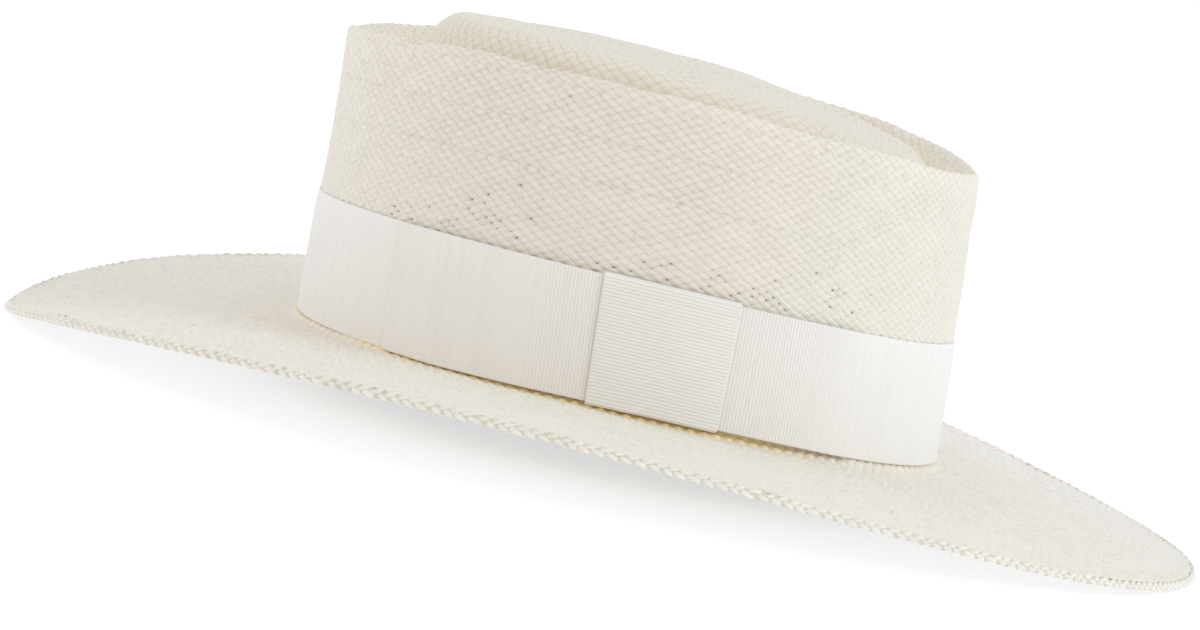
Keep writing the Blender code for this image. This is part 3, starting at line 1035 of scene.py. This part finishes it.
STRAW_LIGHT = (0.85, 0.795, 0.695, 1)
# Painted light: the brim is painted paler than the crown for the light it catches from above; the plait also
# uses this colour for its real streaks.
STRAW_BRIM = (0.885, 0.85, 0.765, 1)
STRAW_MEAN = (0.765, 0.70, 0.575, 1)
# The straw's darker tone; also laid on as painted shade in the crevices of the weave and the plait.
STRAW_DARK = (0.63, 0.56, 0.43, 1)
STRAW_GREY = (0.70, 0.68, 0.61, 1)
# Painted light: a warm golden glow standing in for light bounced into the shaded gap under the ribbon.
STRAW_BOUNCE_GLOW = (1.0, 0.81, 0.47, 1)
# Painted light: a warm glow for light bounced about inside the crown's groove.
STRAW_GROOVE_GLOW = (0.90, 0.81, 0.60, 1)
# Painted shade: near-black for the shaded inside of the hat seen through open holes in the weave.
STRAW_HOLE_SHADE = (0.16, 0.13, 0.09, 1)
BOUNCE_GLOW_DEGREES = (-146, -126, -68, -48)  # where the painted golden bounce light under the ribbon begins, is full, fades and ends
RIBBON_LIGHT = (0.90, 0.872, 0.825, 1)
RIBBON_DARK = (0.785, 0.75, 0.692, 1)


def straw_material():
    s = Shader("straw_weave", Specular_IOR_Level=0.35)
    a, b, zone = s.marks("weave")
    turned, place, opened = s.marks("place")
    near_a, near_b = s.math("ROUND", a), s.math("ROUND", b)
    off_a, off_b = s.math("SUBTRACT", a, near_a), s.math("SUBTRACT", b, near_b)
    odd = s.times(s.math("FRACT", s.times(s.math("ADD", near_a, near_b), 0.5)), 2.0)

    def pick(even_value, odd_value):
        return s.math("MULTIPLY_ADD", s.math("SUBTRACT", odd_value, even_value), odd, even_value)

    along, across = pick(off_a, off_b), pick(off_b, off_a)
    strand = pick(near_b, s.math("ADD", near_a, 517.0))
    length = pick(a, b)

    # The straw's rise in each cell, used for the bump and for a painted highlight on its crest.
    flat = s.range(s.absolute(across), 0.30, 0.5, 1.0, 0.0)
    arch = s.range(s.absolute(along), 0.15, 0.62, 1.0, 0.35)
    height = s.times(flat, arch)
    streaks = s.noise(s.vector(s.times(across, 9.0), s.times(length, 0.7), strand), 1.0, 3.0)
    tone = s.random(s.vector(strand, zone))
    patch = s.noise(s.where(), 38.0)
    fine = s.noise(s.where(), 900.0)

    wall, corners = straw.wall / MM, [c / MM for c in straw.corners]
    inward = s.range(place, wall - 12, corners[1] + 8)
    # Painted light: the brim paler than the crown.
    brim_light_share = s.times(s.math("SUBTRACT", 1.0, inward), 0.9)
    off_wall = s.range(place, wall - 1, wall + 5, 1.0, 0.0)
    # Painted shade: the brim darker and warmer towards the crown, where crown and ribbon shade it.
    crown_shade_share = s.times(s.range(place, wall - 50, wall - 5, 0.0, 0.35), off_wall)
    # Painted shade: darker lines along the edges of each straw, in the crevices between straws.
    crevice_shade_a = s.range(s.absolute(off_a), 0.26, 0.5, 0.0, 0.27)
    crevice_shade_b = s.range(s.absolute(off_b), 0.30, 0.5, 0.0, 0.10)
    groove = s.times(s.math("MAXIMUM", crevice_shade_a, crevice_shade_b), s.range(inward, 0.0, 1.0, 0.85, 1.0))
    speckle = s.noise(s.where(), 520.0, 3.0, 0.7)
    gap = s.math("MINIMUM", s.absolute(off_a), s.absolute(off_b))
    # Painted shade: open holes are shallow dents painted dark, as if the shaded inside showed through.
    hole = s.times(s.range(opened, 0.2, 0.6), s.range(gap, 0.28, 0.42))
    # Painted light: the groove inside the crown's rim is painted a warm glow.
    past_dip = s.range(place, corners[3] - 4, corners[3], 0.5, 0.0)
    dip = s.times(s.range(place, corners[1] + 2, corners[2] - 2), past_dip)
    # Painted light: a golden band along the brim break, in the shaded gap under the ribbon and bow.
    line = s.range(s.absolute(s.math("SUBTRACT", place, wall)), 1.3, 2.8, 1.0, 0.0)
    turn = s.math("FRACT", turned)
    first, full, fading, last = (float(turn_at(math.radians(d))) % 1.0 for d in BOUNCE_GLOW_DEGREES)
    strong = s.times(s.range(turn, first, full, 0.25, 1.0), s.range(turn, fading, last, 1.0, 0.15))
    colour = s.paint(
        STRAW_MEAN,
        (s.range(tone, 0.0, 0.75, 0.3, 0.8), STRAW_LIGHT),
        (s.range(tone, 0.9, 0.98, 0.0, 0.3), STRAW_DARK),
        (s.range(patch, 0.4, 0.75, 0.0, 0.3), STRAW_GREY),
        (s.range(streaks, 0.35, 0.8, 0.0, 0.35), STRAW_MEAN),
        (brim_light_share, STRAW_BRIM),
        (crown_shade_share, STRAW_MEAN),
        # Painted shade: the crown's top, beyond the rim, in the darker mean tone.
        (s.range(place, corners[1], corners[1] + 25), STRAW_MEAN),
        (groove, STRAW_DARK),
        # Painted highlight: lighter on the crest of the straw on top.
        (s.range(height, 0.75, 1.0, 0.0, 0.5), STRAW_LIGHT),
        (s.range(speckle, 0.54, 0.74, 0.0, 0.5), STRAW_DARK),
        # Painted shade: dark dots where four cells meet, in the hollows between the straws.
        (s.range(gap, 0.30, 0.46, 0.0, 0.6), STRAW_DARK),
        (s.times(hole, 0.7), STRAW_HOLE_SHADE),
        (dip, STRAW_GROOVE_GLOW),
        (s.times(line, strong), STRAW_BOUNCE_GLOW),
    )
    normal = s.bumps((fine, 0.06, 0.5), (streaks, 0.07, 0.6), (height, 0.07, 0.6))
    return s.finish(colour, s.range(streaks, 0.3, 0.8, 0.52, 0.7), normal)


def plait_material():
    s = Shader("straw_plait", Specular_IOR_Level=0.35)
    along, round_it, strand = s.marks("weave")
    streaks = s.noise(s.vector(s.times(along, 1.2), s.times(round_it, 22.0), strand), 1.0, 3.0)
    patch = s.noise(s.where(), 60.0)
    heave = s.math("SINE", s.times(s.math("ADD", along, s.math("DIVIDE", strand, 3.0)), 4 * math.pi))
    face = s.math("SINE", s.times(round_it, 2 * math.pi))
    # Painted shade: strands darker where they pass under the others, and the hidden core darker, on their
    # outer faces.
    under = s.range(s.times(heave, face), -0.7, 0.1, 1.0, 0.0)
    core = s.math("GREATER_THAN", strand, 2.5)
    colour = s.paint(
        STRAW_LIGHT,
        (s.range(streaks, 0.3, 0.7), STRAW_BRIM),
        (s.times(s.math("MAXIMUM", under, core), s.range(face, -0.3, 0.3, 0.0, 0.7)), STRAW_DARK),
        (s.range(patch, 0.45, 0.7, 0.0, 0.3), STRAW_GREY),
        (s.range(streaks, 0.62, 0.8, 0.0, 0.5), STRAW_DARK),
    )
    return s.finish(colour, s.range(streaks, 0.3, 0.8, 0.5, 0.7), s.bumps((streaks, 0.16, 0.9)))


def ribbon_material():
    s = Shader("grosgrain", Sheen_Weight=0.12, Sheen_Roughness=0.4, Specular_IOR_Level=0.3)
    rib, across, _ = s.marks("weave")
    x = s.split(s.where())[0]
    crisp = s.times(s.range(x, -0.035, -0.015), s.range(x, 0.055, 0.075, 1.0, 0.0))
    wave = s.times(s.math("COSINE", s.times(rib, 2 * math.pi)), s.range(crisp, 0.0, 1.0, 0.15, 1.0))
    threads = s.math("SINE", s.times(across, 2 * math.pi / 0.32))
    lone = s.random(s.vector(s.math("ROUND", rib), 3.0))
    long_noise = s.noise(s.vector(s.times(rib, 0.9), s.times(across, 0.12)), 1.0, 3.0)
    patch = s.noise(s.where(), 30.0)
    colour = s.paint(
        RIBBON_DARK,
        (s.range(wave, -1.0, 0.4), RIBBON_LIGHT),
        (s.range(lone, 0.5, 1.0, 0.0, 0.2), RIBBON_DARK),
        (s.range(patch, 0.4, 0.8, 0.0, 0.25), RIBBON_DARK),
    )
    normal = s.bumps((threads, 0.03, 0.5), (long_noise, 0.10, 0.4), (wave, 0.06, 0.5))
    return s.finish(colour, s.range(long_noise, 0.3, 0.8, 0.62, 0.78), normal)


def cotton_material(name, light, dark, pitch, slope):
    """Twill or herringbone cotton, its diagonals pitch millimetres apart."""
    s = Shader(name, Sheen_Weight=0.1, Specular_IOR_Level=0.25)
    along, across, _ = s.marks("weave")
    slant = s.math("ADD", along, s.times(across, slope))
    wave = s.math("COSINE", s.times(slant, 2 * math.pi / pitch))
    yarn = s.noise(s.where(), 1500.0)
    patch = s.noise(s.where(), 25.0, 3.0)
    colour = s.paint(dark, (s.range(wave, -1.0, 0.4), light), (s.range(patch, 0.4, 0.8, 0.0, 0.5), dark))
    rough = s.range(yarn, 0.3, 0.7, 0.75, 0.9)
    return s.finish(colour, rough, s.bumps((yarn, 0.05, 0.5), (wave, 0.10, 0.7)))


def thread_material():
    s = Shader("sewing_thread", Sheen_Weight=0.1, Specular_IOR_Level=0.3)
    plies = s.make("ShaderNodeTexWave", {"Vector": s.where(), "Scale": 700.0, "Distortion": 1.0},
                   bands_direction="DIAGONAL")[1]
    colour = s.paint((0.70, 0.67, 0.60, 1), (plies, (0.86, 0.84, 0.79, 1)))
    return s.finish(colour, s.range(plies, 0.0, 1.0, 0.6, 0.8), s.bumps((plies, 0.05, 0.8)))


# Build.

straw_look = straw_material()
ribbon_look = ribbon_material()
thread_look = thread_material()
make_brim(straw_look)
make_crown(straw_look)
make_plait(plait_material())
make_band(ribbon_look)
make_bow(ribbon_look)
make_tab(ribbon_look)
make_sweatband(cotton_material("sweatband_twill", (0.80, 0.77, 0.71, 1), (0.68, 0.64, 0.57, 1), 0.9, 0.8))
make_tape(cotton_material("cotton_tape", (0.83, 0.80, 0.75, 1), (0.70, 0.67, 0.60, 1), 1.2, 1.0))
make_label(cotton_material("label_satin", (0.87, 0.86, 0.83, 1), (0.80, 0.79, 0.75, 1), 0.5, 0.0))
make_stitching(thread_look)
for place, degrees in TACK_DEGREES.items():
    make_tack(place, degrees, thread_look)

# Floor, light and camera.

scene = bpy.context.scene

floor_mesh = bpy.data.meshes.new("floor")
reach = 40.0
floor_mesh.from_pydata([(-reach, -reach, 0), (reach, -reach, 0), (reach, reach, 0), (-reach, reach, 0)],
                       [], [(0, 1, 2, 3)])
floor = link_in("floor", floor_mesh)
paper = Shader("floor_lit_acrylic", Base_Color=(0.68, 0.69, 0.72, 1), Roughness=0.9, Specular_IOR_Level=0.1,
               Emission_Color=(0.94, 0.965, 1.0, 1), Emission_Strength=0.50)
floor_mesh.materials.append(paper.material)

DIM_ROOM = (0.80, 0.74, 0.66, 1)  # behind the camera
BRIGHT_SKY = (0.99, 1.005, 1.085, 1)
world = bpy.data.worlds.new("studio")
scene.world = world
world.use_nodes = True
sky = Nodes(world.node_tree)
ahead = sky.split(sky.make("ShaderNodeTexCoord", {})[0])[1]
brightness = sky.range(ahead, -1.0, 0.1, curve="LINEAR")
background = world.node_tree.nodes["Background"].inputs
sky.put(background["Color"], sky.paint(DIM_ROOM, (brightness, BRIGHT_SKY)))
background["Strength"].default_value = 0.85

LAMP_TARGET = Vector((0, 0, 0.05))
LAMPS = [
    ("key", (1.5, -0.75, 1.1), 8.6, (0.88, 0.92, 1.0)),
    ("high_key", (1.5, -0.3, 1.6), 4.6, (0.5, 0.85, 1.0)),
    ("fill", (-1.6, 0.0, 1.0), 5.4, (0.86, 0.94, 1.0)),
]
for name, place, power, colour in LAMPS:
    lamp = bpy.data.lights.new(name, "AREA")
    lamp.shape = "RECTANGLE"
    lamp.size = lamp.size_y = 0.9
    lamp.energy = power
    lamp.color = colour
    made = link_in(name, lamp)
    made.location = place
    made.rotation_euler = (LAMP_TARGET - Vector(place)).to_track_quat("-Z", "Y").to_euler()

CAMERA_ELEVATION = 0.1162
CAMERA_AZIMUTH = 0.0057
CAMERA_ROLL = 0.2212
CAMERA_DISTANCE = 1.492
CAMERA_TARGET = Vector((-0.0085, 0.0, 0.0379))
CAMERA_LENS = 143.1

back = Vector((
    math.sin(CAMERA_AZIMUTH) * math.cos(CAMERA_ELEVATION),
    -math.cos(CAMERA_AZIMUTH) * math.cos(CAMERA_ELEVATION),
    math.sin(CAMERA_ELEVATION),
))
camera_data = bpy.data.cameras.new("camera")
camera_data.lens = CAMERA_LENS
camera_data.sensor_width = 36
camera_data.clip_end = 200
camera = link_in("camera", camera_data)
look = (-back).to_track_quat("-Z", "Y").to_matrix().to_4x4()
camera.matrix_world = (Matrix.Translation(CAMERA_TARGET + back * CAMERA_DISTANCE) @ look
                       @ Matrix.Rotation(CAMERA_ROLL, 4, "Z"))
scene.camera = camera
scene.view_settings.view_transform = "Standard"
